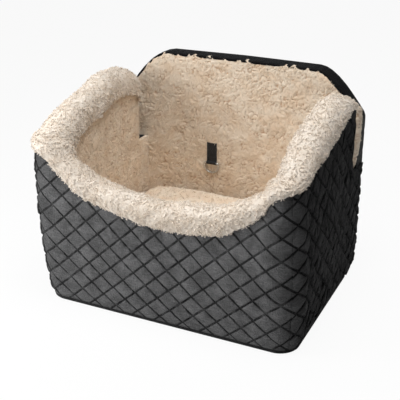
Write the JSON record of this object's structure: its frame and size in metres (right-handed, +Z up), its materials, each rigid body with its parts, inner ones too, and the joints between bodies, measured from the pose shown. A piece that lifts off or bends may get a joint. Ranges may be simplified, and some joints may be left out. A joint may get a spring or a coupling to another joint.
{
  "type": "dog car seat",
  "caption": "Booster car seat for a small dog: quilted foam box with a low scooped front, thick fleece cuffs, a tall backrest and belt slots.",
  "frame": {"origin": "middle of the flat underside, on the plane that the seat stands on", "axes": "+X to the right of someone who looks at the front; +Y from the front to the backrest; +Z up"},
  "size_m": [0.572, 0.4554, 0.465],
  "materials": {
    "foam": "open-cell foam",
    "quilted_nylon": "diamond-quilted nylon, slight sheen",
    "bottom_fabric": "coarse non-slip fabric",
    "piping": "bound cord",
    "fleece": "thick curly fleece",
    "cushion_fleece": "thick curly fleece",
    "binding": "woven nylon",
    "zip_tape": "woven tape",
    "zip_teeth": "moulded plastic teeth",
    "zip_metal": "black enamel",
    "webbing": "woven nylon webbing",
    "ring_metal": "nickel plate"
  },
  "bodies": {
    "seat": {"foam_base": "foam", "foam_front": "foam", "foam_left": "foam", "foam_right": "foam", "foam_back": "foam", "cover_front": "quilted_nylon", "cover_left": "quilted_nylon", "cover_right": "quilted_nylon", "cover_back_upper": "quilted_nylon", "cover_back_lower": "quilted_nylon", "back_border": "quilted_nylon", "bottom_panel": "bottom_fabric", "bottom_welt": "piping", "lining_front": "fleece", "lining_left": "fleece", "lining_right": "fleece", "lining_back": "fleece", "lining_floor": "fleece", "cuff_front": "fleece", "cuff_left": "fleece", "cuff_right": "fleece", "belt_slot_binding_left": "binding", "belt_slot_binding_right": "binding", "zipper_tape_upper": "zip_tape", "zipper_tape_lower": "zip_tape", "zipper_teeth_upper": "zip_teeth", "zipper_teeth_lower": "zip_teeth", "zipper_stop_left": "zip_metal", "zipper_stop_right": "zip_metal", "tether_webbing": "webbing"},
    "cushion": {"seat_cushion": "cushion_fleece"},
    "slider": {"zipper_slider": "zip_metal"},
    "pull": {"zipper_pull": "zip_metal"},
    "ring": {"tether_d_ring": "ring_metal"}
  },
  "joints": [
    {"name": "cushion_lift", "type": "slide", "parent": "seat", "child": "cushion", "axis": [0, 0, 1], "range_m": [0, 0.35]},
    {"name": "zip_slide", "type": "slide", "parent": "seat", "child": "slider", "axis": [-1, 0, 0], "range_m": [0, 0.52]},
    {"name": "pull_swing", "type": "hinge", "parent": "slider", "child": "pull", "pos_m": [0.2609, 0.2139, 0.097], "axis": [1, 0, 0], "range_deg": [0, 170]},
    {"name": "ring_swing", "type": "hinge", "parent": "seat", "child": "ring", "pos_m": [-0.06, 0.1584, 0.216], "axis": [-1, 0, 0], "range_deg": [0, 150]}
  ]
}
